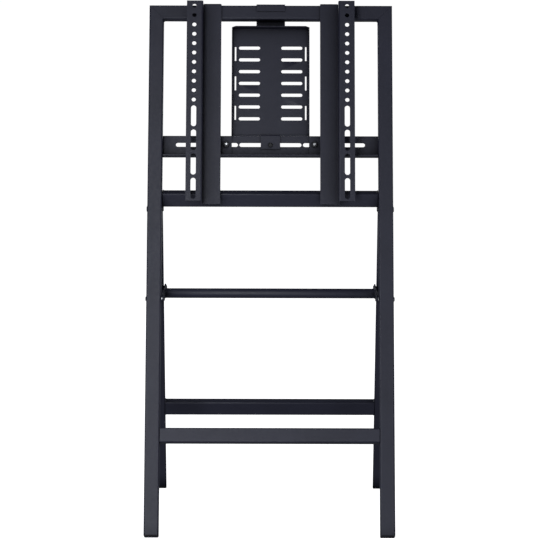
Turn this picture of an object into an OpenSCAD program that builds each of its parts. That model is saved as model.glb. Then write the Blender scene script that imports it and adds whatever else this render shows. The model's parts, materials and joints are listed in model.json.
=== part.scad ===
// Folding A-frame floor stand for a display, with two sliding arms and a hanging tray.
// The stand is open and stands on Z = 0. Its front faces -Y and X = 0 is its middle plane.
// "Left" and "right" are as seen from the front.

/* [Front frame] */
// Overall width of the front frame
frame_w = 500; // [470:5:560]
// Length of the front legs, measured along the leg
leg_len = 1100; // [1090:5:1130]
// Lean of the front frame, top towards the back, in degrees
front_lean = 21.5; // [19:0.5:24]
// Distance along the front leg from its foot to the main hinge
pivot_s = 669; // [655:1:672]
// Distance along the front leg to the middle of the lower crossbar
crossbar_s = 201.3; // [120:0.1:300]
// Distance along the front leg to the underside of the slotted angle
angle_s = 779.2; // [775:0.1:790]

/* [Tube] */
// Face width of the rectangular tube
tube_w = 30; // [28:1:32]
// Depth of the rectangular tube
tube_d = 20; // [19:1:22]
// Wall of the tube
tube_wall = 1.5; // [1.2:0.1:2]
// Outer corner radius of the tube
tube_r = 3; // [2.2:0.1:4]

/* [Rear frame] */
// Lean of the rear frame, foot towards the back, in degrees
rear_lean = 16.5; // [14:0.5:19]
// Distance of the rear leg's middle line behind the hinge
rear_offset = 22; // [21:0.5:26]
// Side clearance of the rear frame inside the front frame's inner faces
rear_side_gap = 0.6; // [0.3:0.1:1]
// Distance below the hinge of the middle of the rear frame's lower crossbar
rear_crossbar_t = 464; // [380:0.1:520]
// Height above the hinge of the middle of the rear frame's top crossbar
rear_top_w = 13.7; // [11:0.1:16]

/* [Feet] */
// Thickness of the plastic foot under the tube
foot_h = 5; // [3:0.5:8]
// Depth of the plug inside the tube
plug_len = 18; // [12:1:30]

/* [Brace] */
// Distance along the front leg to the brace pivot
brace_s = 482; // [470:1:500]
// Distance below the hinge of the stud that the brace hooks on
stud_t = 187; // [180:0.5:195]
// Width of the flat bar of the brace arms
brace_bar_w = 16; // [15:1:24]
// Thickness of the flat bar
brace_bar_t = 3; // [2.5:0.1:3.1]
// Diameter of the cross tube of the brace
brace_tube_d = 20; // [16:1:22]
// How far the brace lifts to lie along the front legs, in degrees
brace_lift = 68; // [60:1:68]

/* [Slotted angle] */
// Height of the web of the slotted angle
angle_h = 46.3; // [43:0.1:46.5]
// Sheet thickness of the slotted angle
angle_t = 2.5; // [2:0.1:3]
// Height of the slots
slot_h = 8.5; // [7:0.5:9]
// Height of the slots' middle line above the angle's underside
slot_up = 27.4; // [24:0.1:28]
// Length of each of the three slots
slot_len = 127; // [120:1:128]
// Web left between two slots
slot_bridge = 3; // [2:0.5:6]

/* [Arms] */
// Distance of the arm's side wall from the middle plane
arm_x = 138.5; // [134:0.5:150]
// Width of the front strip that the display bolts to
strip_w = 33.5; // [30:0.5:40]
// Distance of the front strip from the frame's front face
arm_depth = 30; // [24:1:40]
// Sheet thickness of the arms
arm_t = 2.5; // [2:0.1:3]
// Bottom end of the arms, measured along the front leg
arm_bottom = 676.5; // [675:0.5:680]
// Radius of the round display holes
hole_r = 4.3; // [3:0.1:5]
// Pitch of the round display holes
hole_pitch = 20; // [20:1:20]
// Number of round display holes in each arm
hole_count = 11; // [5:1:11]
// Width of the vertical slots
vslot_w = 10.5; // [6:0.5:12]
// Length of the vertical slots
vslot_len = 44.5; // [30:0.5:45]
// Pitch of the vertical slots
vslot_pitch = 50.8; // [48:0.1:51]

/* [Tray] */
// Width of the tray
tray_w = 160; // [150:2:170]
// Sheet thickness of the tray and its hanger
tray_t = 1.5; // [1.2:0.1:2]
// Bottom edge of the tray, measured along the front leg
tray_bottom = 826; // [826:0.5:832]
// Height of the tray
tray_h = 230; // [220:0.5:230]
// Depth of the tray's top flange
tray_top_d = 20.5; // [12:0.5:21]
// Depth of the tray's side lips
tray_side_d = 10; // [6:0.5:14]
// Width of the hanger that hooks over the top rail
hanger_w = 59; // [40:1:80]
// Width of the tab that is screwed to the slotted angle
tab_w = 40; // [30:1:44]

/* [Hidden] */
$fn = 48;
POWDER = [0.24, 0.24, 0.28];
POWDER_REAR = [0.17, 0.17, 0.21];
BLACK = [0.08, 0.08, 0.09];
ZINC = [0.75, 0.76, 0.78];
NYLON = [0.85, 0.85, 0.82];

// Lengths that reach past an edge, past a tube, and past the whole stand
past = 1;
beyond = 100;
reach = 500;

// Frame: distances across the front, half widths
half_w = frame_w / 2;
inner_x = half_w - tube_w;
leg_x = half_w - tube_w / 2;
rear_inner_x = inner_x - rear_side_gap;
apex = front_lean + rear_lean;

// Places in the middle plane as [y, z], before the shift that centres the stand on Y = 0
function on_front(y, s) = [y * cos(front_lean) + s * sin(front_lean),
                           foot_h - y * sin(front_lean) + s * cos(front_lean)];
pivot_raw = on_front(tube_d / 2, pivot_s);
rear_back = rear_offset + tube_d / 2;
rear_len = (pivot_raw[1] + rear_back * sin(rear_lean)) / cos(rear_lean);
rear_y_max = pivot_raw[0] + rear_len * sin(rear_lean) + rear_back * cos(rear_lean);
front_y_min = -foot_h * tan(front_lean);
y_shift = -(rear_y_max + front_y_min) / 2;
pivot = pivot_raw + [y_shift, 0];
brace_pivot = on_front(tube_d / 2, brace_s) + [y_shift, 0];
stud = pivot + [stud_t * sin(rear_lean) + rear_offset * cos(rear_lean),
                -stud_t * cos(rear_lean) + rear_offset * sin(rear_lean)];
brace_run = stud - brace_pivot;
brace_len = norm(brace_run);
brace_tilt = atan2(brace_run[1], brace_run[0]);

// The way the stud leaves the hook when the rear frame folds and the brace lifts with it
stud_arm = stud - pivot;
stud_way = [stud_arm[1], -stud_arm[0]] - (brace_lift / apex) * [-brace_run[1], brace_run[0]];
notch_angle = atan2(stud_way[1], stud_way[0]) - brace_tilt;

// Slant on the outer side of each foot's pad
foot_cut_w = 2.5;
foot_cut_h = 4;

// Share of a domed head that lies under its hex socket, and the dome's flat top
socket_up = 0.35;
dome_cut = 0.4;

// Hinge hardware, M6
hinge_r = 3;
hinge_fit = 0.05;
hinge_head_r = 5.5;
hinge_head_h = 1.6;
cap_r = 5;
cap_h = 3.4;
hinge_socket_w = 4;
tongue_t = 5;
tongue_r = 7.5;
tongue_half = 6;
tongue_drop = 45;
bush_r = 5;
bush_gap = 0.15;
hinge_slot_w = 6;
hinge_slot_low = 10;
hinge_slot_high = 21;
stop_gap = 0.2;
stop_t = 2;

// Brace hardware, M5 pivot and a shouldered M6 stud
socket_w = 3;
brace_bolt_r = 2.5;
brace_cap_r = 4.75;
brace_cap_h = 2;
brace_fit = 0.06;
brace_out = 2.6;
brace_spacer_r = 3.4;
brace_spacer_t = 2.5;
brace_nut_w = 7;
brace_nut_h = 1.6;
brace_nut_gap = 0.2;
shoulder_r = 4;
shoulder_gap = 0.3;
shoulder_len = rear_inner_x - (inner_x - brace_out - brace_bar_t) + shoulder_gap;
notch_fit = 0.2;
notch_flare = 2.2;
stud_head_r = 5;
stud_head_h = 1.6;
hook_nut_w = 10;
hook_nut_h = 5;

// Sheet bends
bend_r = 3.5;
tray_bend_r = 2.5;
sheet_gap = 0.3;

// Slotted angle, arms and tray
angle_web_y = tube_d - angle_t;
slot_s = angle_s + slot_up;
slot_pitch = slot_len + slot_bridge;
arm_top = leg_len + 0.5;
hook_front = 20;
hook_lip = 14;
hook_step = 5;
hook_chamfer = 4;
flange_x = 101.5;
ear_x = 79;
ear_bottom = angle_s + 6.3;
ear_top = angle_s + 43.8;
ear_back = angle_web_y - sheet_gap;
clamp_x = 90;
clamp_r = 2.5;
weld_nut_r = 6;
weld_nut_h = 4;
clamp_washer_r = 8;
clamp_washer_t = 1.2;
washer_gap = 0.2;
clamp_head_r = 4.75;
clamp_head_h = 2.75;
tray_nut_w = 8;
tray_nut_h = 4;
hole_x = arm_x + 18;
hole_top_s = leg_len - 10.7;
vslot_top_s = leg_len - 245;
vslot_count = 4;

tray_top = tray_bottom + tray_h;
plate_front = tube_d + sheet_gap;
plate_back = plate_front + tray_t;
tab_front = ear_back - tray_t;
tab_bottom = angle_s + 18.3;
tray_screw_s = slot_s - 1;
row_pitch = 25.2;
row_mid = tray_bottom + 112.5;
row_count = 7;
row_slot_x = 43.5;
row_slot_len = 43.5;
row_slot_h = 7;
slit_x = 72.3;
slit_w = 3;
slit_len = 30;
slit_pitch = 63;
corner_x = 8;
corner_y = 9;
hanger_overlap = 30;
hanger_lip = 15;

// ---- placing ----

module in_front_frame()
  translate([0, y_shift, foot_h]) rotate([-front_lean, 0, 0]) children();

module in_rear_frame()
  translate([0, pivot[0], pivot[1]]) rotate([rear_lean, 0, 0]) children();

module in_brace()
  translate([0, brace_pivot[0], brace_pivot[1]]) rotate([brace_tilt, 0, 0]) children();

module left() mirror([1, 0, 0]) children();

module both() {
  children();
  left() children();
}

// Everything between two heights
module slab(low, high) translate([-half_w - beyond, -reach, low])
  cube([frame_w + 2 * beyond, 2 * reach, high - low]);

// Everything a little way below a given height
module below(z) slab(z - beyond, z);

// A flat shape drawn in Y and Z, given a length along X from x
module along_x(x, len) translate([x, 0, 0]) rotate([90, 0, 90]) linear_extrude(len) children();

// A flat shape drawn in X and Z, given a length along Y from y
module along_y(y, len) translate([0, y + len, 0]) rotate([90, 0, 0]) linear_extrude(len) children();

// A cylinder along X from x
module rod_x(r, x, len) translate([x, 0, 0]) rotate([0, 90, 0]) cylinder(r = r, h = len);

// A cylinder along Y from y
module rod_y(r, y, len) translate([0, y, 0]) rotate([-90, 0, 0]) cylinder(r = r, h = len);

// ---- flat shapes ----

module rounded_rect(w, d, r) {
  translate([r, 0]) square([w - 2 * r, d]);
  translate([0, r]) square([w, d - 2 * r]);
  for (x = [r, w - r], y = [r, d - r]) translate([x, y]) circle(r);
}

module tube_section(w, d) difference() {
  rounded_rect(w, d, tube_r);
  translate([tube_wall, tube_wall])
    rounded_rect(w - 2 * tube_wall, d - 2 * tube_wall, tube_r - tube_wall);
}

// A slot with round ends, along X
module slot_shape(len, w) {
  translate([-(len - w) / 2, -w / 2]) square([len - w, w]);
  for (e = [-1, 1]) translate([e * (len - w) / 2, 0]) circle(w / 2);
}

// A quarter of a sheet bend about the origin, in the quadrant given by the signs
module bend(sx, sy, r, t) intersection() {
  difference() {
    circle(r);
    circle(r - t);
  }
  translate([sx < 0 ? -r : 0, sy < 0 ? -r : 0]) square(r);
}

// ---- fasteners ----

// A low dome with a small flat top, on the plane X = 0 and rising to +X
module dome(r, h) {
  rise = h + dome_cut;
  ball = (r * r + rise * rise) / (2 * rise);
  rotate([0, 90, 0]) rotate_extrude() intersection() {
    translate([0, rise - ball]) circle(ball, $fn = 96);
    square([r + past, h]);
  }
}

module hex_x(w, x, len) translate([x, 0, 0]) rotate([0, 90, 0])
  cylinder(r = w / 2 / cos(30), h = len, $fn = 6);

// A bolt along -X from a domed head with a hex socket at the origin
module button_bolt(r, len, head_r, head_h, socket) difference() {
  union() {
    dome(head_r, head_h);
    rod_x(r, -len, len);
  }
  hex_x(socket, head_h * socket_up, head_h);
}

// ---- front frame ----

module front_tube() translate([inner_x, 0, -2 * foot_h])
  linear_extrude(leg_len + 2 * foot_h) tube_section(tube_w, tube_d);

// The half of each top corner that belongs to the rail
module mitre() along_y(-past, tube_d + 2 * past)
  polygon([[inner_x - tube_w, leg_len - tube_w], [inner_x, leg_len - tube_w],
           [half_w + past, leg_len + past], [inner_x - tube_w, leg_len + past]]);

module front_leg() difference() {
  in_front_frame() difference() {
    front_tube();
    mitre();
    translate([0, tube_d / 2, pivot_s])
      rod_x(hinge_r + hinge_fit, inner_x - past, tube_w + 2 * past);
    translate([0, tube_d / 2, brace_s])
      rod_x(brace_bolt_r + hinge_fit, inner_x - past, tube_w + 2 * past);
    translate([leg_x - hinge_slot_w / 2, tube_d - 2 * tube_wall, pivot_s - hinge_slot_low])
      cube([hinge_slot_w, 3 * tube_wall, hinge_slot_low + hinge_slot_high]);
  }
  below(foot_h);
}

module front_leg_right() color(POWDER) front_leg();
module front_leg_left() color(POWDER) left() front_leg();

module top_rail() color(POWDER) in_front_frame() intersection() {
  translate([0, 0, leg_len - tube_w]) along_x(-half_w, frame_w) rail_section();
  along_y(-past, tube_d + 2 * past)
    polygon([[-inner_x, leg_len - tube_w], [inner_x, leg_len - tube_w],
             [half_w, leg_len], [-half_w, leg_len]]);
}

// Tube section turned so that its wide face looks to the front
module rail_section() difference() {
  rounded_rect(tube_d, tube_w, tube_r);
  translate([tube_wall, tube_wall])
    rounded_rect(tube_d - 2 * tube_wall, tube_w - 2 * tube_wall, tube_r - tube_wall);
}

module front_crossbar() color(POWDER) in_front_frame()
  translate([0, 0, crossbar_s - tube_w / 2]) along_x(-inner_x, 2 * inner_x) rail_section();

// Angle with a slotted web at the back and a lip that points forward
module slotted_angle() color(POWDER) in_front_frame() difference() {
  translate([0, 0, angle_s]) along_x(-inner_x, 2 * inner_x) {
    translate([angle_web_y, bend_r]) square([angle_t, angle_h - bend_r]);
    square([tube_d - bend_r, angle_t]);
    translate([tube_d - bend_r, bend_r]) bend(1, -1, bend_r, angle_t);
  }
  for (k = [-1, 0, 1]) translate([k * slot_pitch, 0, slot_s])
    along_y(angle_web_y - past, angle_t + 2 * past) slot_shape(slot_len, slot_h);
}

// What the slanted outer side of a foot's pad leaves off
module foot_side(x) along_y(-reach, 2 * reach)
  polygon([[x - foot_cut_w, -past], [x - foot_cut_w, 0], [x, foot_cut_h], [x + past, foot_cut_h],
           [x + past, -past]]);

// Plastic foot: a pad under the tube and a plug inside it
module front_foot() {
  difference() {
    intersection() {
      in_front_frame() translate([inner_x, 0, -4 * foot_h])
        linear_extrude(8 * foot_h) rounded_rect(tube_w, tube_d, tube_r);
      slab(0, foot_h);
    }
    foot_side(half_w);
  }
  difference() {
    in_front_frame() translate([inner_x + tube_wall, tube_wall, 0]) linear_extrude(plug_len)
      rounded_rect(tube_w - 2 * tube_wall, tube_d - 2 * tube_wall, tube_r - tube_wall);
    below(foot_h);
  }
}

module front_foot_right() color(BLACK) front_foot();
module front_foot_left() color(BLACK) left() front_foot();

module hinge_bolts() color(BLACK) in_front_frame() both()
  translate([half_w, tube_d / 2, pivot_s])
    button_bolt(hinge_r, tube_w + cap_h - past, hinge_head_r, hinge_head_h, hinge_socket_w);

module hinge_cap_nuts() color(BLACK) in_front_frame() both()
  translate([inner_x, tube_d / 2, pivot_s]) mirror([1, 0, 0]) difference() {
    dome(cap_r, cap_h);
    rod_x(hinge_r, -past, cap_h);
  }

module hinge_bushes() color(NYLON) in_front_frame() both()
  translate([0, tube_d / 2, pivot_s]) difference() {
    for (x = [inner_x + tube_wall, leg_x + tongue_t / 2 + bush_gap])
      rod_x(bush_r, x, leg_x - tongue_t / 2 - bush_gap - inner_x - tube_wall);
    rod_x(hinge_r + hinge_fit, inner_x, tube_w);
  }

// ---- rear frame ----

module rear_outline(len) translate([rear_inner_x, rear_offset - tube_d / 2, -len])
  linear_extrude(len + tube_w + tube_d) rounded_rect(tube_w, tube_d, tube_r);

// The space in front of a plane behind the front legs, at the main hinge
module ahead_of(y) in_front_frame() translate([0, -beyond, pivot_s - 2 * beyond])
  cube([half_w + beyond, beyond + y, 4 * beyond]);

module rear_leg() difference() {
  in_rear_frame() translate([rear_inner_x, rear_offset - tube_d / 2, -rear_len])
    linear_extrude(rear_len + tube_w + tube_d) tube_section(tube_w, tube_d);
  ahead_of(tube_d + stop_gap + stop_t);
  below(foot_h);
  in_rear_frame() translate([0, rear_offset, -stud_t])
    rod_x(hinge_r + hinge_fit, rear_inner_x - past, tube_w + 2 * past);
  in_rear_frame() translate([leg_x - tongue_t / 2, 0, -tongue_half])
    cube([tongue_t, rear_offset - tube_d / 2 + tube_wall, 2 * tongue_half]);
}

module rear_leg_right() color(POWDER_REAR) rear_leg();
module rear_leg_left() color(POWDER_REAR) left() rear_leg();

// Plate that closes the slanted tube end and rests on the front leg when the stand is open
module stop_plate() difference() {
  in_rear_frame() rear_outline(tube_w);
  ahead_of(tube_d + stop_gap);
  in_front_frame() translate([0, tube_d + stop_gap + stop_t, pivot_s - 2 * beyond])
    cube([half_w + beyond, beyond, 4 * beyond]);
  in_front_frame() translate([leg_x - tongue_t / 2, tube_d, pivot_s - hinge_slot_low])
    cube([tongue_t, 2 * stop_t, hinge_slot_low + hinge_slot_high]);
}

module stop_plate_right() color(POWDER_REAR) stop_plate();
module stop_plate_left() color(POWDER_REAR) left() stop_plate();

// Plate welded inside the rear leg's top, with an eye on the hinge bolt
module hinge_tongue() in_rear_frame() difference() {
  union() {
    rod_x(tongue_r, leg_x - tongue_t / 2, tongue_t);
    translate([leg_x - tongue_t / 2, 0, -tongue_half])
      cube([tongue_t, rear_back - tube_wall, 2 * tongue_half]);
    translate([leg_x - tongue_t / 2, rear_offset - tube_d / 2 + tube_wall, -tongue_drop])
      cube([tongue_t, tube_d - 2 * tube_wall, tongue_drop]);
  }
  rod_x(hinge_r + hinge_fit, leg_x - tongue_t, 2 * tongue_t);
}

module hinge_tongue_right() color(POWDER_REAR) hinge_tongue();
module hinge_tongue_left() color(POWDER_REAR) left() hinge_tongue();

module rear_bar(w) color(POWDER_REAR) in_rear_frame()
  translate([0, rear_offset - tube_d / 2, w - tube_w / 2])
    along_x(-rear_inner_x, 2 * rear_inner_x) rail_section();

module rear_top_crossbar() rear_bar(rear_top_w);
module rear_crossbar() rear_bar(-rear_crossbar_t);

module rear_foot() {
  difference() {
    intersection() {
      in_rear_frame() translate([rear_inner_x, rear_offset - tube_d / 2, -rear_len - tube_w])
        linear_extrude(2 * tube_w) rounded_rect(tube_w, tube_d, tube_r);
      slab(0, foot_h);
    }
    foot_side(rear_inner_x + tube_w);
  }
  difference() {
    in_rear_frame()
      translate([rear_inner_x + tube_wall, rear_offset - tube_d / 2 + tube_wall, -rear_len])
        linear_extrude(plug_len + 2 * foot_h)
          rounded_rect(tube_w - 2 * tube_wall, tube_d - 2 * tube_wall, tube_r - tube_wall);
    below(foot_h);
  }
}

module rear_foot_right() color(BLACK) rear_foot();
module rear_foot_left() color(BLACK) left() rear_foot();

// Domed head, shoulder that carries the hook, and a shank through the rear leg
module hook_studs() color(BLACK) in_rear_frame() both()
  translate([rear_inner_x - shoulder_len, rear_offset, -stud_t]) {
    difference() {
      mirror([1, 0, 0]) dome(stud_head_r, stud_head_h);
      hex_x(socket_w, -stud_head_h, stud_head_h * (1 - socket_up));
    }
    rod_x(shoulder_r, 0, shoulder_len);
    rod_x(hinge_r, shoulder_len, tube_w + hook_nut_h);
  }

module hook_nuts() color(BLACK) in_rear_frame() both()
  translate([rear_inner_x + tube_w, rear_offset, -stud_t]) difference() {
    hex_x(hook_nut_w, 0, hook_nut_h);
    rod_x(hinge_r, -past, hook_nut_h + 2 * past);
  }

// ---- brace ----

// Flat bar with a pivot eye at the front and an open hook at the back
module brace_arm() in_brace() along_x(inner_x - brace_out - brace_bar_t, brace_bar_t)
  difference() {
    union() {
      circle(brace_bar_w / 2);
      translate([0, -brace_bar_w / 2]) square([brace_len, brace_bar_w]);
      translate([brace_len, 0]) circle(brace_bar_w / 2);
    }
    circle(brace_bolt_r + brace_fit);
    translate([brace_len, 0]) {
      circle(shoulder_r + notch_fit);
      rotate(notch_angle)
        polygon([[0, -shoulder_r - notch_fit],
                 [brace_bar_w, -shoulder_r - notch_fit - notch_flare],
                 [brace_bar_w, shoulder_r + 2 * notch_fit], [0, shoulder_r + notch_fit]]);
    }
  }

module brace_arm_right() color(POWDER_REAR) brace_arm();
module brace_arm_left() color(POWDER_REAR) left() brace_arm();

module brace_tube() color(POWDER_REAR) in_brace()
  translate([0, brace_len / 2, 0]) difference() {
    x = inner_x - brace_out - brace_bar_t;
    rod_x(brace_tube_d / 2, -x, 2 * x);
    rod_x(brace_tube_d / 2 - tube_wall, -x - past, 2 * x + 2 * past);
  }

module brace_bolts() color(BLACK) in_front_frame() both()
  translate([half_w, tube_d / 2, brace_s])
    button_bolt(brace_bolt_r, tube_w + brace_out + brace_bar_t + 2 * brace_nut_gap + brace_nut_h,
                brace_cap_r, brace_cap_h, socket_w);

module brace_spacers() color(ZINC) in_front_frame() both()
  translate([inner_x - brace_spacer_t, tube_d / 2, brace_s]) difference() {
    rod_x(brace_spacer_r, 0, brace_spacer_t);
    rod_x(brace_bolt_r + brace_fit, -past, brace_spacer_t + 2 * past);
  }

module brace_nuts() color(BLACK) in_front_frame() both()
  translate([inner_x - brace_out - brace_bar_t - brace_nut_gap, tube_d / 2, brace_s]) difference() {
    hex_x(brace_nut_w, -brace_nut_h, brace_nut_h);
    rod_x(brace_bolt_r, -brace_nut_h - past, brace_nut_h + 2 * past);
  }

// ---- arms ----

// Sheet section in X and Y: front strip, side wall and flange against the frame
module arm_section() {
  translate([arm_x + bend_r, -arm_depth]) square([strip_w - bend_r, arm_t]);
  translate([arm_x + bend_r, bend_r - arm_depth]) bend(-1, -1, bend_r, arm_t);
  translate([arm_x, bend_r - arm_depth])
    square([arm_t, arm_depth - sheet_gap - 2 * bend_r]);
  translate([arm_x + arm_t - bend_r, -sheet_gap - bend_r]) bend(1, 1, bend_r, arm_t);
  translate([flange_x, -sheet_gap - arm_t])
    square([arm_x + arm_t - bend_r - flange_x, arm_t]);
}

// Sheet section in X and Y: the flange's edge stepped back to the slotted web
module ear_section() {
  translate([flange_x + bend_r, bend_r - sheet_gap - arm_t]) bend(-1, -1, bend_r, arm_t);
  translate([flange_x, bend_r - sheet_gap - arm_t])
    square([arm_t, ear_back + sheet_gap + arm_t - 2 * bend_r]);
  translate([flange_x + arm_t - bend_r, ear_back - bend_r]) bend(1, 1, bend_r, arm_t);
  translate([ear_x, ear_back - arm_t]) square([flange_x + arm_t - bend_r - ear_x, arm_t]);
}

// Section in Y and Z of a hook over the top rail: a front leg, a top and a back leg
module hook_section(y0, y1, front_len, back_len, r, t) {
  top = leg_len + sheet_gap + t;
  translate([y0, top - front_len]) square([t, front_len - r]);
  translate([y0 + r, top - r]) bend(-1, 1, r, t);
  translate([y0 + r, top - t]) square([y1 - y0 - 2 * r, t]);
  translate([y1 - r, top - r]) bend(1, 1, r, t);
  translate([y1 - t, top - back_len]) square([t, back_len - r]);
}

module arm_hook() intersection() {
  along_x(flange_x, arm_x - flange_x)
    hook_section(-sheet_gap - arm_t, tube_d + sheet_gap + arm_t, hook_front, hook_lip,
                 bend_r, arm_t);
  along_y(-tube_d, 3 * tube_d) polygon([
    [flange_x, leg_len - tube_w], [arm_x, leg_len - tube_w],
    [arm_x, leg_len + hook_step - hook_chamfer], [arm_x - hook_chamfer, leg_len + hook_step],
    [flange_x + hook_chamfer, leg_len + hook_step],
    [flange_x, leg_len + hook_step - hook_chamfer]]);
}

module arm() in_front_frame() difference() {
  union() {
    translate([0, 0, arm_bottom]) linear_extrude(arm_top - arm_bottom - hook_chamfer)
      arm_section();
    translate([0, 0, arm_bottom]) linear_extrude(arm_top - arm_bottom) intersection() {
      arm_section();
      translate([arm_x, -arm_depth - past]) square([strip_w + past, arm_depth + 2 * past]);
    }
    translate([0, 0, ear_bottom]) linear_extrude(ear_top - ear_bottom) ear_section();
    arm_hook();
  }
  for (k = [0 : hole_count - 1])
    translate([hole_x, 0, hole_top_s - k * hole_pitch])
      rod_y(hole_r, -arm_depth - past, arm_t + 2 * past);
  for (k = [0 : vslot_count - 1]) translate([hole_x, 0, vslot_top_s - k * vslot_pitch])
    along_y(-arm_depth - past, arm_t + 2 * past) rotate(90) slot_shape(vslot_len, vslot_w);
  translate([clamp_x, 0, slot_s]) rod_y(clamp_r, ear_back - arm_t - past, arm_t + 2 * past);
}

// Round nut welded on the front of the ear
module arm_nut() in_front_frame() translate([clamp_x, 0, slot_s]) difference() {
  rod_y(weld_nut_r, ear_back - arm_t - weld_nut_h, weld_nut_h);
  rod_y(clamp_r, ear_back - arm_t - weld_nut_h - past, weld_nut_h + 2 * past);
}

// Screw from behind, through the slot into the nut
module arm_screw() in_front_frame() translate([clamp_x, 0, slot_s]) {
  back = tube_d + washer_gap + clamp_washer_t;
  front = ear_back - arm_t - weld_nut_h;
  rod_y(clamp_r, front, back - front);
  translate([0, back, 0]) rotate([0, 0, 90]) difference() {
    dome(clamp_head_r, clamp_head_h);
    hex_x(socket_w, clamp_head_h * socket_up, clamp_head_h);
  }
}

module arm_washer() in_front_frame() translate([clamp_x, 0, slot_s]) difference() {
  rod_y(clamp_washer_r, tube_d + washer_gap, clamp_washer_t);
  rod_y(clamp_r, tube_d - past, clamp_washer_t + 3 * past);
}

module arm_right() color(POWDER) arm();
module arm_left() color(POWDER) left() arm();
module arm_right_nut() color(BLACK) arm_nut();
module arm_left_nut() color(BLACK) left() arm_nut();
module arm_right_screw() color(ZINC) arm_screw();
module arm_left_screw() color(ZINC) left() arm_screw();
module arm_right_washer() color(ZINC) arm_washer();
module arm_left_washer() color(ZINC) left() arm_washer();

// ---- tray ----

// Section in X and Y: the lip on each side of the tray
module tray_sides() {
  w = tray_w / 2;
  for (e = [0, 1]) mirror([e, 0]) {
    translate([w - tray_bend_r, plate_back - tray_bend_r]) bend(1, 1, tray_bend_r, tray_t);
    translate([w - tray_t, plate_back - tray_side_d])
      square([tray_t, tray_side_d - tray_bend_r]);
  }
}

// Section in X and Y: the tray's back plate between its side lips
module tray_plate() translate([tray_bend_r - tray_w / 2, plate_front])
  square([tray_w - 2 * tray_bend_r, tray_t]);

// Top flange of the tray, with its two front corners cut off
module tray_flange() {
  w = tray_w / 2;
  y_front = plate_back - tray_top_d;
  y_back = plate_back - tray_bend_r;
  translate([0, 0, tray_top - tray_t]) linear_extrude(tray_t) polygon([
    [corner_x - w, y_front], [w - corner_x, y_front], [w, y_front + corner_y],
    [w, y_back], [-w, y_back], [-w, y_front + corner_y]]);
}

module tray() color(POWDER) in_front_frame() {
  flat_w = tray_w - 2 * tray_bend_r;
  difference() {
    union() {
      translate([0, 0, tray_bottom + tray_bend_r])
        linear_extrude(tray_h - 2 * tray_bend_r) tray_plate();
      translate([0, 0, tray_bottom]) linear_extrude(tray_h - tray_t) tray_sides();
      tray_flange();
      along_x(-flat_w / 2, flat_w) {
        translate([plate_back - tray_bend_r, tray_top - tray_bend_r])
          bend(1, 1, tray_bend_r, tray_t);
        translate([plate_back - tray_bend_r, tray_bottom + tray_bend_r])
          bend(1, -1, tray_bend_r, tray_t);
        translate([tab_front + tray_bend_r, tray_bottom])
          square([plate_back - tab_front - 2 * tray_bend_r, tray_t]);
      }
    }
    for (k = [0 : row_count - 1], e = [-1, 1])
      translate([e * row_slot_x, 0, row_mid + (k - 3) * row_pitch])
        along_y(plate_front - past, tray_t + 2 * past) slot_shape(row_slot_len, row_slot_h);
    for (k = [-1, 0, 1], e = [-1, 1])
      translate([e * slit_x - slit_w / 2, plate_front - past,
                 row_mid + k * slit_pitch - slit_len / 2])
        cube([slit_w, tray_t + 2 * past, slit_len]);
  }
  difference() {
    along_x(-tab_w / 2, tab_w) {
      translate([tab_front + tray_bend_r, tray_bottom + tray_t - tray_bend_r])
        bend(-1, 1, tray_bend_r, tray_t);
      translate([tab_front, tab_bottom])
        square([tray_t, tray_bottom + tray_t - tray_bend_r - tab_bottom]);
    }
    translate([0, 0, tray_screw_s]) rod_y(clamp_r, tab_front - past, tray_t + 2 * past);
  }
}

// Strap welded to the back of the tray and bent over the top rail
module tray_hanger() color(POWDER) in_front_frame() {
  low = tray_top - tray_bend_r - hanger_overlap;
  along_x(-hanger_w / 2, hanger_w)
    hook_section(-sheet_gap - tray_t, plate_back + tray_t, hanger_lip,
                 leg_len + sheet_gap + tray_t - low, tray_bend_r, tray_t);
}

// Screw through the tab and the middle slot
module tray_screw() color(BLACK) in_front_frame() translate([0, 0, tray_screw_s]) {
  rod_y(clamp_r, tab_front, tube_d + clamp_washer_t + tray_nut_h - tab_front);
  translate([0, tab_front, 0]) rotate([0, 0, -90]) difference() {
    dome(clamp_head_r, clamp_head_h);
    hex_x(socket_w, clamp_head_h * socket_up, clamp_head_h);
  }
}

// Flanged nut behind the slotted web
module tray_nut() color(ZINC) in_front_frame() translate([0, 0, tray_screw_s]) difference() {
  union() {
    rod_y(clamp_washer_r - 1, tube_d, clamp_washer_t);
    translate([0, tube_d, 0]) rotate([-90, 0, 0])
      cylinder(r = tray_nut_w / 2 / cos(30), h = clamp_washer_t + tray_nut_h, $fn = 6);
  }
  rod_y(clamp_r, tube_d - past, clamp_washer_t + tray_nut_h + 2 * past);
}

front_leg_left();
front_leg_right();
top_rail();
front_crossbar();
slotted_angle();
front_foot_left();
front_foot_right();
hinge_bolts();
hinge_cap_nuts();
hinge_bushes();
brace_bolts();
brace_nuts();
brace_spacers();
tray();
tray_hanger();
tray_screw();
tray_nut();
rear_leg_left();
rear_leg_right();
rear_top_crossbar();
rear_crossbar();
hinge_tongue_left();
hinge_tongue_right();
stop_plate_left();
stop_plate_right();
rear_foot_left();
rear_foot_right();
hook_studs();
hook_nuts();
brace_arm_left();
brace_arm_right();
brace_tube();
arm_left();
arm_left_nut();
arm_left_screw();
arm_left_washer();
arm_right();
arm_right_nut();
arm_right_screw();
arm_right_washer();
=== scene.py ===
import json
import math
import random

import bmesh
import bpy
from mathutils import Matrix, Vector


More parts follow.
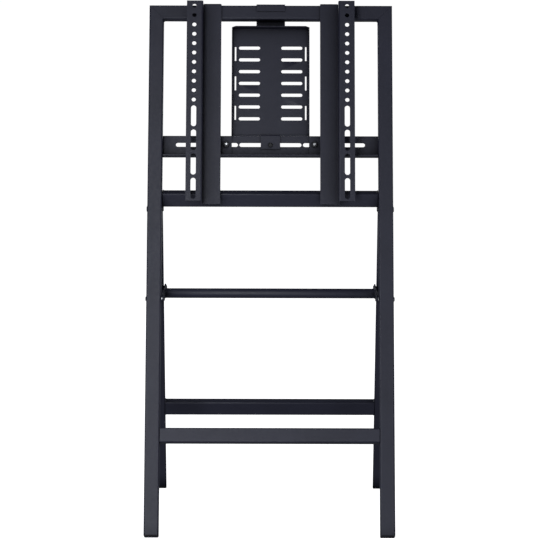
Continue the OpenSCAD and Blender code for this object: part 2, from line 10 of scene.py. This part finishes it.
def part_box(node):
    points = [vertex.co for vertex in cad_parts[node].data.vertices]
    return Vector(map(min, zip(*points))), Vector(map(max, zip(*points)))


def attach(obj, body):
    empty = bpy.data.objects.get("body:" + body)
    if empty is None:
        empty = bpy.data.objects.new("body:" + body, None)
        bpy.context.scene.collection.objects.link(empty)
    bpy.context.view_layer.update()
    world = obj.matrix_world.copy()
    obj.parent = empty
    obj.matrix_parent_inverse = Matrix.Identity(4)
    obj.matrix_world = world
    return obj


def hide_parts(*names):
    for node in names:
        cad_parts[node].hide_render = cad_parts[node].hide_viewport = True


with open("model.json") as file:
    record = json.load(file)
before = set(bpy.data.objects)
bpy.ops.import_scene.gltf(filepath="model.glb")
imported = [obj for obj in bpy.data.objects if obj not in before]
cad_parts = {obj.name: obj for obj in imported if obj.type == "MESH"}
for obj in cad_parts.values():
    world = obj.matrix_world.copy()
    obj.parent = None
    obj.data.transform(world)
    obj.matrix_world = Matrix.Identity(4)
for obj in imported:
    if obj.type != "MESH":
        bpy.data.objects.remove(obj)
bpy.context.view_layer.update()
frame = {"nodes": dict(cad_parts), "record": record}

NODES = frame["nodes"]

# ---------------------------------------------------------------- materials


def new_material(name):
    mat = bpy.data.materials.new(name)
    mat.use_nodes = True
    nodes, links = mat.node_tree.nodes, mat.node_tree.links
    nodes.clear()
    out = nodes.new("ShaderNodeOutputMaterial")
    bsdf = nodes.new("ShaderNodeBsdfPrincipled")
    links.new(bsdf.outputs["BSDF"], out.inputs["Surface"])
    return mat, nodes, links, bsdf


def object_coordinates(nodes):
    return nodes.new("ShaderNodeTexCoord").outputs["Object"]


def noise(nodes, links, coord, scale, detail=3.0, rough=0.55):
    n = nodes.new("ShaderNodeTexNoise")
    n.inputs["Scale"].default_value = scale
    n.inputs["Detail"].default_value = detail
    n.inputs["Roughness"].default_value = rough
    links.new(coord, n.inputs["Vector"])
    return n.outputs["Fac"]


def ramp(nodes, links, fac, stops):
    r = nodes.new("ShaderNodeValToRGB")
    els = r.color_ramp.elements
    while len(els) < len(stops):
        els.new(0.5)
    for el, (pos, col) in zip(els, stops):
        el.position = pos
        el.color = (*col, 1.0)
    links.new(fac, r.inputs["Fac"])
    return r.outputs["Color"]


def to_range(nodes, links, fac, low, high, new_low, new_high):
    m = nodes.new("ShaderNodeMapRange")
    for key, v in (("From Min", low), ("From Max", high), ("To Min", new_low), ("To Max", new_high)):
        m.inputs[key].default_value = v
    links.new(fac, m.inputs["Value"])
    return m.outputs["Result"]


def bump(nodes, links, height, strength, distance, before=None):
    b = nodes.new("ShaderNodeBump")
    b.inputs["Strength"].default_value = strength
    b.inputs["Distance"].default_value = distance
    links.new(height, b.inputs["Height"])
    if before is not None:
        links.new(before, b.inputs["Normal"])
    return b.outputs["Normal"]


def painted_recess_shade(nodes, links, reach):
    """Painted shade: white in the open and darker in corners and gaps, where ambient occlusion finds nearby
    surfaces and less light reaches.
    """
    ao = nodes.new("ShaderNodeAmbientOcclusion")
    ao.samples = 8
    ao.inputs["Distance"].default_value = reach
    return ramp(nodes, links, ao.outputs["AO"], [(0.3, (0.1, 0.1, 0.1)), (0.95, (1.0, 1.0, 1.0))])


def powder_coat(name, dark, light, rough=0.46):
    """Fine-textured powder coat: pebbled skin, slow shade changes, painted shade in corners and gaps and a
    slightly uneven sheen.
    """
    mat, nodes, links, bsdf = new_material(name)
    coord = object_coordinates(nodes)
    slow = noise(nodes, links, coord, 9.0, 2.0)
    tone_and_painted_shade = nodes.new("ShaderNodeMix")
    tone_and_painted_shade.data_type = "RGBA"
    tone_and_painted_shade.blend_type = "MULTIPLY"
    tone_and_painted_shade.inputs["Factor"].default_value = 1.0
    links.new(ramp(nodes, links, slow, [(0.3, dark), (0.7, light)]), tone_and_painted_shade.inputs["A"])
    # Painted shade: corners and gaps are darkened by ambient occlusion, multiplied into the random tone of
    # the base colour.
    shade = painted_recess_shade(nodes, links, 0.035)
    links.new(shade, tone_and_painted_shade.inputs["B"])
    bsdf.inputs["Specular IOR Level"].default_value = 0.44
    # The painted shade also lowers the specular level in corners and gaps, a painted dimming of the sheen
    # there.
    links.new(to_range(nodes, links, shade, 0.1, 1.0, 0.06, 0.44), bsdf.inputs["Specular IOR Level"])
    links.new(tone_and_painted_shade.outputs["Result"], bsdf.inputs["Base Color"])
    sheen = noise(nodes, links, coord, 260.0, 3.0)
    links.new(to_range(nodes, links, sheen, 0.3, 0.7, rough - 0.06, rough + 0.08),
              bsdf.inputs["Roughness"])
    peel = bump(nodes, links, noise(nodes, links, coord, 420.0, 2.0), 0.18, 0.0004)
    grain = bump(nodes, links, noise(nodes, links, coord, 1500.0, 2.0), 0.16, 0.00012, peel)
    links.new(grain, bsdf.inputs["Normal"])
    return mat


def plastic(name, dark, light, rough, specular=0.4):
    """Moulded plastic with a spark-eroded texture."""
    mat, nodes, links, bsdf = new_material(name)
    coord = object_coordinates(nodes)
    links.new(ramp(nodes, links, noise(nodes, links, coord, 60.0), [(0.35, dark), (0.65, light)]),
              bsdf.inputs["Base Color"])
    sparks = noise(nodes, links, coord, 700.0)
    links.new(to_range(nodes, links, sparks, 0.3, 0.7, rough - 0.05, rough + 0.07),
              bsdf.inputs["Roughness"])
    links.new(bump(nodes, links, noise(nodes, links, coord, 1100.0, 3.0), 0.35, 0.0002),
              bsdf.inputs["Normal"])
    bsdf.inputs["Specular IOR Level"].default_value = specular
    return mat


def metal(name, dark, light, rough, metallic=1.0, streak=0.25):
    """Turned or plated fastener metal with fine tool marks and dull patches."""
    mat, nodes, links, bsdf = new_material(name)
    coord = object_coordinates(nodes)
    patches = noise(nodes, links, coord, 180.0, 4.0, 0.6)
    links.new(ramp(nodes, links, patches, [(0.3, dark), (0.7, light)]), bsdf.inputs["Base Color"])
    links.new(to_range(nodes, links, patches, 0.3, 0.7, rough + 0.09, rough - 0.04),
              bsdf.inputs["Roughness"])
    bsdf.inputs["Metallic"].default_value = metallic
    links.new(bump(nodes, links, noise(nodes, links, coord, 900.0, 4.0), streak, 0.0001),
              bsdf.inputs["Normal"])
    return mat


POWDER = powder_coat("powder_coat_textured", (0.0235, 0.0240, 0.0415), (0.0295, 0.0300, 0.0515))
FOOT = plastic("foot_plastic_moulded", (0.0055, 0.0055, 0.0085), (0.0085, 0.0085, 0.0125), 0.6, 0.18)
BLACK = metal("black_oxide", (0.022, 0.022, 0.026), (0.034, 0.034, 0.038), 0.36, 0.35)
ZINC = metal("bright_zinc", (0.72, 0.73, 0.75), (0.86, 0.87, 0.89), 0.28)
NYLON = plastic("natural_nylon", (0.70, 0.70, 0.65), (0.78, 0.78, 0.74), 0.42)

BY_SLOT = {"powder_coat": POWDER, "foot_plastic": FOOT, "black_fastener": BLACK,
           "zinc_fastener": ZINC, "nylon": NYLON}


def finish_cad_nodes():
    """Every CAD node gets softened edges and its finished material."""
    slots = {s["node"]: s["material_slot"] for s in frame["record"]["subparts"]}
    for name, obj in NODES.items():
        mat = BY_SLOT[slots[name]]
        for s in obj.material_slots:
            s.material = mat
        weld = obj.modifiers.new("weld", "WELD")
        weld.merge_threshold = 0.00001
        edge = obj.modifiers.new("edge", "BEVEL")
        edge.limit_method = "ANGLE"
        edge.angle_limit = math.radians(40)
        edge.width = 0.0004
        edge.segments = 2
        edge.harden_normals = True


finish_cad_nodes()

# ---------------------------------------------------------------- local frames of the leaning frames


def leaning(origin, up):
    """A frame with X across, Z along `up` and Y into the depth, at `origin`."""
    z = Vector(up).normalized()
    x = Vector((1, 0, 0))
    m = Matrix((x, z.cross(x), z)).transposed().to_4x4()
    m.translation = Vector(origin)
    return m


def centre(name):
    lo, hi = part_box(name)
    return (Vector(lo) + Vector(hi)) / 2


def local_box(name, place):
    """Lowest and highest corner of a CAD node in a leaning frame."""
    inv = place.inverted()
    pts = [inv @ v.co for v in NODES[name].data.vertices]
    return (Vector([min(p[i] for p in pts) for i in range(3)]),
            Vector([max(p[i] for p in pts) for i in range(3)]))


def joint_origin(name):
    return Vector(next(j for j in frame["record"]["behaviour"]["joints"] if j["name"] == name)["pos_m"])


MAIN_PIVOT, BRACE_PIVOT = joint_origin("rear_fold"), joint_origin("brace_lift")
STUD = centre("hook_studs")
FRONT = leaning(MAIN_PIVOT, MAIN_PIVOT - BRACE_PIVOT)
REAR = leaning(MAIN_PIVOT, centre("rear_top_crossbar") - centre("rear_crossbar"))
BRACE = leaning(BRACE_PIVOT, Vector((1, 0, 0)).cross(STUD - BRACE_PIVOT))

# ---------------------------------------------------------------- mesh builders


class Piece:
    """Collects rings and strips of faces, and turns into one object riding a body."""

    def __init__(self):
        self.verts, self.faces = [], []

    def grid(self, rows, closed=True, cap_start=False, cap_end=False):
        """Skins rows of points: each row one ring, faces between neighbouring rows."""
        base, n = len(self.verts), len(rows[0])
        for row in rows:
            self.verts.extend(row)
        for i in range(len(rows) - 1):
            for j in range(n if closed else n - 1):
                a, b = base + i * n + j, base + i * n + (j + 1) % n
                self.faces.append((a, b, b + n, a + n))
        if cap_start:
            self.faces.append(tuple(base + j for j in reversed(range(n))))
        if cap_end:
            last = base + (len(rows) - 1) * n
            self.faces.append(tuple(last + j for j in range(n)))

    def make(self, name, body, material, replaced=(), smooth_deg=35.0):
        me = bpy.data.meshes.new(name)
        me.from_pydata([tuple(v) for v in self.verts], [], self.faces)
        bm = bmesh.new()
        bm.from_mesh(me)
        bmesh.ops.remove_doubles(bm, verts=bm.verts, dist=1e-6)
        bmesh.ops.recalc_face_normals(bm, faces=bm.faces)
        bm.to_mesh(me)
        bm.free()
        me.shade_smooth()
        me.set_sharp_from_angle(angle=math.radians(smooth_deg))
        me.materials.append(material)
        obj = bpy.data.objects.new(name, me)
        bpy.context.scene.collection.objects.link(obj)
        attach(obj, body)
        if replaced:
            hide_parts(*replaced)
        return obj


def axis_frame(at, along):
    """A frame at `at` whose Z points along `along`."""
    m = Vector(along).normalized().to_track_quat("Z", "Y").to_matrix().to_4x4()
    m.translation = Vector(at)
    return m


def spun(piece, place, levels, radius, seg=48, cap_start=True, cap_end=True):
    """A turned body: `radius(angle, level)` at each of the given (height, key) levels."""
    rows = []
    for z, key in levels:
        row = []
        for j in range(seg):
            a = 2 * math.pi * j / seg
            r = radius(a, z, key)
            row.append(place @ Vector((r * math.cos(a), r * math.sin(a), z)))
        rows.append(row)
    piece.grid(rows, True, cap_start, cap_end)


def hex_radius(width, angle):
    """Distance from the middle to a hexagon's edge, `width` being across its flats."""
    part = (angle % (math.pi / 3)) - math.pi / 6
    return width / 2 / math.cos(part)


def button_head(piece, place, r, h, socket):
    """Domed screw head rising along Z from 0, with a chamfered hex socket."""
    rim = 0.12 * h
    top_r = 0.52 * r
    levels = [(0.0, ("c", r * 0.97)), (rim * 0.5, ("c", r)), (rim, ("c", r))]
    for i in range(1, 9):
        a = i / 9
        levels.append((rim + (h - rim) * math.sin(a * math.pi / 2) ** 0.9,
                       ("c", top_r + (r - top_r) * math.cos(a * math.pi / 2))))
    levels += [(h, ("c", top_r)), (h, ("c", socket * 0.62)), (h - 0.1 * h, ("h", socket)),
               (h * 0.42, ("h", socket)), (h * 0.36, ("h", socket * 0.5)), (h * 0.34, ("c", 0.00002))]
    spun(piece, place, levels, lambda a, z, k: hex_radius(k[1], a) if k[0] == "h" else k[1], 48, True, True)


def thread(piece, place, r, z0, z1, pitch):
    """A helical thread from z0 to z1 with a chamfered end at z1."""
    depth = 0.32 * pitch * 1.7
    steps = max(4, int((z1 - z0) / (pitch / 6)))
    cham = 0.7 * pitch

    def rad(a, z, _):
        phase = (z / pitch - a / (2 * math.pi)) % 1.0
        tooth = min(1.0, max(0.0, 1.4 * abs(2 * phase - 1) - 0.2))
        limit = r - max(0.0, cham - (z1 - z)) * 0.9
        return min(r - depth * (1 - tooth), limit)

    spun(piece, place, [(z0 + (z1 - z0) * i / steps, None) for i in range(steps + 1)], rad, 36, True, True)


def circle(place, z, radius, seg=48):
    """A ring of points at height z, `radius` being a number or a function of the angle."""
    out = []
    for j in range(seg):
        a = 2 * math.pi * j / seg
        r = radius(a) if callable(radius) else radius
        out.append(place @ Vector((r * math.cos(a), r * math.sin(a), z)))
    return out


def nut(piece, place, width, h, bore, round_r=None):
    """A nut from 0 to h along Z: double-chamfered hexagon, or turned when round_r is given."""
    corner = round_r or width / 2 / math.cos(math.pi / 6)
    cut = 0.16 * h

    def outer(z):
        edge = min(z, h - z)
        cone = corner * 0.985 + (edge - cut) * 1.6 if edge < cut else corner
        return lambda a: min(round_r or hex_radius(width, a), cone)

    rows = [circle(place, 0.12 * h, bore), circle(place, 0.0, bore * 1.12)]
    for share in (0.0, 0.04, 0.08, 0.12, 0.16, 0.3, 0.5, 0.7, 0.84, 0.88, 0.92, 0.96, 1.0):
        rows.append(circle(place, share * h, outer(share * h)))
    rows += [circle(place, h, bore * 1.12), circle(place, 0.88 * h, bore), circle(place, 0.12 * h, bore)]
    piece.grid(rows)


def washer(piece, place, outer, inner, t):
    soft = 0.2 * t
    piece.grid([circle(place, z, r) for r, z in
                ((inner, 0.0), (outer - soft, 0.0), (outer, soft), (outer, t - soft), (outer - soft, t),
                 (inner + soft, t), (inner, t - soft), (inner, 0.0))])


RNG = random.Random(11)
BEAD_STEP = 0.0005
RIPPLE = 0.0019
BEAD_SIDES = 12


def bead(piece, points, r):
    """A weld bead along a path: overlapping ripples of slightly uneven width."""
    pts = [Vector(p) for p in points]
    lengths = [(b - a).length for a, b in zip(pts, pts[1:])]
    total = sum(lengths)
    n = max(4, int(total / BEAD_STEP))
    wobble = [RNG.uniform(-1, 1) for _ in range(int(total / RIPPLE) + 3)]
    rows = []
    for i in range(n + 1):
        d = total * i / n
        k, rest = 0, d
        while k < len(lengths) - 1 and rest > lengths[k]:
            rest -= lengths[k]
            k += 1
        spot = pts[k].lerp(pts[k + 1], min(1.0, rest / lengths[k]))
        ahead = (pts[k + 1] - pts[k]).normalized()
        side = ahead.orthogonal().normalized()
        up = ahead.cross(side)
        w = int(d / RIPPLE)
        phase = d / RIPPLE - w
        scale = 0.86 + 0.14 * math.sqrt(max(0.0, 1 - (phase - 0.35) ** 2)) + 0.05 * wobble[w]
        ends = min(1.0, 0.35 + min(d, total - d) / (1.1 * r))
        rr = r * scale * ends
        angles = [2 * math.pi * j / BEAD_SIDES for j in range(BEAD_SIDES)]
        rows.append([spot + (side * math.cos(a) + up * math.sin(a)) * rr for a in angles])
    piece.grid(rows, True, True, True)


# ---------------------------------------------------------------- welds

# How far a bead's middle sits inwards from the end of what it joins
SINK = 0.0003
# How far beads along a tube's side keep from its front and back faces
INSET = 0.0024


def at(place, x, y, z):
    return place @ Vector((x, y, z))


def bar_welds(piece, place, bar, r=0.0016, inward=SINK):
    """Beads over and under the two ends of a tube that butts between two legs."""
    lo, hi = local_box(bar, place)
    for x, side in ((lo.x, 1), (hi.x, -1)):
        x += side * inward
        for z in (hi.z, lo.z):
            bead(piece, [at(place, x, lo.y + INSET, z), at(place, x, hi.y - INSET, z)], r)


def angle_welds(piece, place):
    """Beads along the front of the angle's web and the top of its lip, at both ends."""
    lo, hi = local_box("slotted_angle", place)
    r, sheet = 0.0013, 0.0026
    for x, side in ((lo.x, 1), (hi.x, -1)):
        x += side * SINK
        web, lip = hi.y - sheet, lo.z + sheet
        bead(piece, [at(place, x, web, lo.z + 0.006), at(place, x, web, hi.z - 0.002)], r)
        bead(piece, [at(place, x, lo.y + 0.002, lip), at(place, x, hi.y - 0.005, lip)], r)


def mitre_welds(piece, place):
    """Bead along each inner corner of the frame, where rail and leg meet."""
    lo, hi = local_box("top_rail", place)
    leg_lo = local_box("front_leg_right", place)[0]
    for side in (-1, 1):
        x, z = side * (leg_lo.x - 0.0002), lo.z - 0.0002
        bead(piece, [at(place, x, lo.y + INSET, z), at(place, x, hi.y - INSET, z)], 0.0015)


def circle_bead(piece, place, x, y, z, radius, r):
    """A bead round a tube that runs along X."""
    n = 40
    angles = [2 * math.pi * i / n for i in range(n + 1)]
    bead(piece, [at(place, x, y + radius * math.cos(a), z + radius * math.sin(a)) for a in angles], r)


def make_welds():
    front = Piece()
    bar_welds(front, FRONT, "front_crossbar")
    angle_welds(front, FRONT)
    mitre_welds(front, FRONT)
    front.make("front_frame_welds", "front_frame", POWDER)

    rear = Piece()
    # set further in, so that the beads stay clear of the front legs
    bar_welds(rear, REAR, "rear_top_crossbar", inward=0.0012)
    bar_welds(rear, REAR, "rear_crossbar")
    rear.make("rear_frame_welds", "rear_frame", POWDER)

    brace = Piece()
    lo, hi = local_box("brace_tube", BRACE)
    y, z = (lo.y + hi.y) / 2, (lo.z + hi.z) / 2
    for x in (lo.x + 0.0004, hi.x - 0.0004):
        circle_bead(brace, BRACE, x, y, z, (hi.y - lo.y) / 2, 0.001)
    brace.make("brace_welds", "brace", POWDER)

    strap = Piece()
    lo, hi = local_box("tray_hanger", FRONT)
    plate = local_box("tray", FRONT)[1]
    for x in (lo.x, hi.x):
        bead(strap, [at(FRONT, x, plate.y, lo.z + 0.002), at(FRONT, x, plate.y, plate.z - 0.004)], 0.0009)
    bead(strap, [at(FRONT, lo.x + 0.004, plate.y, lo.z), at(FRONT, hi.x - 0.004, plate.y, lo.z)], 0.0009)
    strap.make("tray_hanger_welds", "front_frame", POWDER)

    for name in ("arm_left", "arm_right"):
        tacks = Piece()
        lo, hi = local_box(name + "_nut", FRONT)
        x, z, r = (lo.x + hi.x) / 2, (lo.z + hi.z) / 2, (hi.x - lo.x) / 2
        for k in range(3):
            a0 = math.radians(90 + 120 * k)
            bead(tacks, [at(FRONT, x + r * math.cos(a0 + t), hi.y, z + r * math.sin(a0 + t))
                         for t in (-0.35, -0.17, 0.0, 0.17, 0.35)], 0.0008)
        tacks.make(name + "_nut_tacks", name, POWDER)


# ---------------------------------------------------------------- fasteners

M6_R, M6_PITCH = 0.003, 0.001
M5_R, M5_PITCH, M5_BORE = 0.0025, 0.0008, 0.0024
SOCKET = 0.003
M5_HEAD_R = 0.00475
M5_HEAD_H = 0.00275
STUD_HEAD_R = 0.005
STUD_HEAD_H = 0.0016


def side_bolts(piece, node, place, head_r, shank_r, socket, pitch, threaded):
    """Two mirrored bolts along X, with their heads on the outer faces of the front legs."""
    lo, hi = local_box(node, place)
    y, z = (lo.y + hi.y) / 2, (lo.z + hi.z) / 2
    tip = min(abs(v.co.x) for v in NODES[node].data.vertices)
    seat = local_box("front_leg_right", place)[1].x
    for side in (-1, 1):
        head = axis_frame(at(place, side * seat, y, z), (side, 0, 0))
        button_head(piece, head, head_r, hi.x - seat, socket)
        shank = axis_frame(at(place, side * seat, y, z), (-side, 0, 0))
        length = seat - tip
        plain = [(0.0, None), (length - threaded + 0.0002, None)]
        spun(piece, shank, plain, lambda a, h, k: shank_r * 0.985, 36)
        thread(piece, shank, shank_r, length - threaded, length, pitch)


def make_fasteners():
    hinge = Piece()
    side_bolts(hinge, "hinge_bolts", FRONT, 0.0055, M6_R, 0.004, M6_PITCH, 0.004)
    hinge.make("hinge_bolt_pair", "front_frame", BLACK, ["hinge_bolts"], 30)

    caps = Piece()
    lo, hi = local_box("hinge_cap_nuts", FRONT)
    y, z = (lo.y + hi.y) / 2, (lo.z + hi.z) / 2
    for side in (-1, 1):
        seat = local_box("front_leg_right", FRONT)[0].x
        tip = min(abs(v.co.x) for v in NODES["hinge_cap_nuts"].data.vertices)
        spot = axis_frame(at(FRONT, side * seat, y, z), (-side, 0, 0))
        button_head(caps, spot, 0.005, seat - tip, SOCKET)
    caps.make("hinge_barrel_nuts", "front_frame", BLACK, ["hinge_cap_nuts"], 30)

    pivot = Piece()
    side_bolts(pivot, "brace_bolts", FRONT, M5_HEAD_R, M5_R, SOCKET, M5_PITCH, 0.006)
    pivot.make("brace_bolt_pair", "front_frame", BLACK, ["brace_bolts"], 30)

    nuts = Piece()
    lo, hi = local_box("brace_nuts", FRONT)
    y, z = (lo.y + hi.y) / 2, (lo.z + hi.z) / 2
    inner = min(abs(v.co.x) for v in NODES["brace_nuts"].data.vertices)
    for side in (-1, 1):
        nut(nuts, axis_frame(at(FRONT, side * hi.x, y, z), (-side, 0, 0)), 0.007, hi.x - inner, M5_BORE)
    nuts.make("brace_nut_pair", "front_frame", BLACK, ["brace_nuts"], 25)

    spacers = Piece()
    lo, hi = local_box("brace_spacers", FRONT)
    inner = min(abs(v.co.x) for v in NODES["brace_spacers"].data.vertices)
    for side in (-1, 1):
        washer(spacers, axis_frame(at(FRONT, side * hi.x, y, z), (-side, 0, 0)), (hi.z - lo.z) / 2, 0.00256,
               hi.x - inner)
    spacers.make("brace_spacer_pair", "front_frame", ZINC, ["brace_spacers"], 30)

    studs = Piece()
    lo, hi = local_box("hook_studs", REAR)
    y, z = (lo.y + hi.y) / 2, (lo.z + hi.z) / 2
    inner = min(abs(v.co.x) for v in NODES["hook_studs"].data.vertices)
    leg = local_box("rear_leg_right", REAR)[0].x
    for side in (-1, 1):
        seat = inner + STUD_HEAD_H
        head = axis_frame(at(REAR, side * seat, y, z), (-side, 0, 0))
        button_head(studs, head, STUD_HEAD_R, STUD_HEAD_H, SOCKET)
        body = axis_frame(at(REAR, side * seat, y, z), (side, 0, 0))
        shoulder = leg - seat
        spun(studs, body, [(0.0, 0.0036), (0.0003, 0.0039), (0.0006, 0.004), (shoulder - 0.0004, 0.004),
                           (shoulder, 0.0036), (shoulder + 0.0002, 0.003), (hi.x - seat - 0.006, 0.00295)],
             lambda a, h, k: k, 40)
        thread(studs, body, M6_R, hi.x - seat - 0.0062, hi.x - seat, M6_PITCH)
    studs.make("hook_stud_pair", "rear_frame", BLACK, ["hook_studs"], 30)

    lock = Piece()
    lo, hi = local_box("hook_nuts", REAR)
    outer = local_box("rear_leg_right", REAR)[1].x
    for side in (-1, 1):
        nut(lock, axis_frame(at(REAR, side * outer, y, z), (side, 0, 0)), 0.010, 0.005, 0.0029)
    lock.make("hook_stud_nuts", "rear_frame", BLACK, ["hook_nuts"], 25)

    tray = Piece()
    lo, hi = local_box("tray_screw", FRONT)
    x, z = (lo.x + hi.x) / 2, (lo.z + hi.z) / 2
    seat = lo.y + M5_HEAD_H
    front, back = FRONT.to_3x3() @ Vector((0, -1, 0)), FRONT.to_3x3() @ Vector((0, 1, 0))
    button_head(tray, axis_frame(at(FRONT, x, seat, z), front), M5_HEAD_R, M5_HEAD_H, SOCKET)
    thread(tray, axis_frame(at(FRONT, x, seat, z), back), M5_R, 0.0, hi.y - seat, M5_PITCH)
    tray.make("tray_button_screw", "front_frame", BLACK, ["tray_screw"], 30)

    flange = Piece()
    lo, hi = local_box("tray_nut", FRONT)
    spot = axis_frame(at(FRONT, x, lo.y, z), back)
    washer(flange, spot, (hi.x - lo.x) / 2, M5_BORE, 0.0012)
    nut(flange, axis_frame(at(FRONT, x, lo.y + 0.0011, z), back), 0.008, hi.y - lo.y - 0.0011, M5_BORE)
    flange.make("tray_flange_nut", "front_frame", ZINC, ["tray_nut"], 25)

    for name in ("arm_left", "arm_right"):
        lo, hi = local_box(name + "_screw", FRONT)
        x, z = (lo.x + hi.x) / 2, (lo.z + hi.z) / 2
        screw = Piece()
        seat = hi.y - M5_HEAD_H
        button_head(screw, axis_frame(at(FRONT, x, seat, z), back), M5_HEAD_R, M5_HEAD_H, SOCKET)
        thread(screw, axis_frame(at(FRONT, x, seat, z), front), M5_R, 0.0, seat - lo.y, M5_PITCH)
        screw.make(name + "_button_screw", name, ZINC, [name + "_screw"], 30)

        lo, hi = local_box(name + "_nut", FRONT)
        ring = Piece()
        nut(ring, axis_frame(at(FRONT, x, hi.y, z), front), 0.012, hi.y - lo.y, M5_BORE, (hi.x - lo.x) / 2)
        ring.make(name + "_weld_nut", name, BLACK, [name + "_nut"], 25)

        lo, hi = local_box(name + "_washer", FRONT)
        disc = Piece()
        washer(disc, axis_frame(at(FRONT, x, lo.y, z), back), (hi.x - lo.x) / 2, 0.0026, hi.y - lo.y)
        disc.make(name + "_flat_washer", name, ZINC, [name + "_washer"], 30)


make_welds()
make_fasteners()

# ---------------------------------------------------------------- stage, light and camera


def make_floor():
    me = bpy.data.meshes.new("floor")
    bm = bmesh.new()
    bmesh.ops.create_grid(bm, x_segments=1, y_segments=1, size=60.0)
    bm.to_mesh(me)
    bm.free()
    obj = bpy.data.objects.new("floor", me)
    bpy.context.scene.collection.objects.link(obj)
    mat, _, _, bsdf = new_material("pale_floor")
    bsdf.inputs["Base Color"].default_value = (0.8, 0.8, 0.8, 1.0)
    bsdf.inputs["Roughness"].default_value = 0.9
    bsdf.inputs["Emission Color"].default_value = (1.0, 1.0, 1.0, 1.0)
    bsdf.inputs["Emission Strength"].default_value = 1.0
    me.materials.append(mat)
    obj.visible_diffuse = False
    obj.visible_glossy = False


def make_world():
    """White for the camera. Everything else sees a faint bluish sky and a paler floor below."""
    world = bpy.data.worlds.new("studio")
    bpy.context.scene.world = world
    world.use_nodes = True
    nodes, links = world.node_tree.nodes, world.node_tree.links
    nodes.clear()
    out = nodes.new("ShaderNodeOutputWorld")
    mix = nodes.new("ShaderNodeMixShader")
    fill, white = nodes.new("ShaderNodeBackground"), nodes.new("ShaderNodeBackground")
    split = nodes.new("ShaderNodeSeparateXYZ")
    links.new(nodes.new("ShaderNodeTexCoord").outputs["Generated"], split.inputs[0])
    glow = ramp(nodes, links, split.outputs["Z"], [(0.0, FLOOR_GLOW), (0.12, SKY_GLOW)])
    links.new(glow, fill.inputs["Color"])
    white.inputs["Strength"].default_value = 1.0
    white.inputs["Color"].default_value = (1.0, 1.0, 1.0, 1.0)
    path = nodes.new("ShaderNodeLightPath")
    links.new(path.outputs["Is Camera Ray"], mix.inputs["Fac"])
    links.new(fill.outputs[0], mix.inputs[1])
    links.new(white.outputs[0], mix.inputs[2])
    links.new(mix.outputs[0], out.inputs["Surface"])


def softbox(name, at, aim, size, power, colour=(1.0, 1.0, 1.0)):
    light = bpy.data.lights.new(name, "AREA")
    light.shape = "RECTANGLE"
    light.size, light.size_y = size
    light.energy = power
    light.color = colour
    obj = bpy.data.objects.new(name, light)
    obj.location = at
    obj.rotation_mode = "QUATERNION"
    obj.rotation_quaternion = (Vector(aim) - Vector(at)).to_track_quat("-Z", "Y")
    obj.visible_camera = False
    bpy.context.scene.collection.objects.link(obj)


def make_camera():
    pitch, roll, yaw = math.radians(8.4845), math.radians(0.14), math.radians(0.04)
    cam = bpy.data.cameras.new("camera")
    cam.sensor_width = 36.0
    cam.lens = 211.2
    cam.clip_start, cam.clip_end = 0.1, 200.0
    obj = bpy.data.objects.new("camera", cam)
    bpy.context.scene.collection.objects.link(obj)
    right = Vector((1, 0, 0))
    up = Vector((0, math.sin(pitch), math.cos(pitch)))
    back = right.cross(up)
    r2 = right * math.cos(roll) + up * math.sin(roll)
    u2 = up * math.cos(roll) - right * math.sin(roll)
    m = Matrix.Rotation(yaw, 4, "Z") @ Matrix((r2, u2, back)).transposed().to_4x4()
    m.translation = Vector((0.0022, -6.3487, 1.4508))
    obj.matrix_world = m
    bpy.context.scene.camera = obj


COOL = (0.94, 0.97, 1.0)
FLOOR_GLOW = (0.115, 0.122, 0.14)
SKY_GLOW = (0.03, 0.032, 0.038)
make_floor()
make_world()
softbox("key_front", (-0.8, -3.2, 1.0), (0.0, 0.0, 0.55), (0.8, 0.8), 21, COOL)
softbox("key_high", (-0.5, -1.8, 1.7), (0.0, 0.0, 0.55), (0.8, 0.8), 10, COOL)
softbox("side_right", (1.2, -0.6, 0.9), (0.0, 0.0, 0.55), (0.7, 0.9), 1.9, COOL)
softbox("low_left", (-0.9, -0.9, 0.3), (-0.1, 0.0, 0.3), (0.4, 0.3), 1.4, COOL)
softbox("back_left", (-1.9, 2.6, 1.5), (0.0, 0.0, 0.5), (1.4, 1.4), 22, COOL)
softbox("back_right", (2.1, 2.2, 1.0), (0.0, 0.0, 0.5), (1.2, 1.4), 17, COOL)
softbox("low_front", (0.0, -1.1, 0.25), (0.0, 0.2, 0.3), (1.0, 0.3), 1.2, COOL)
make_camera()
bpy.context.scene.view_settings.view_transform = "Standard"
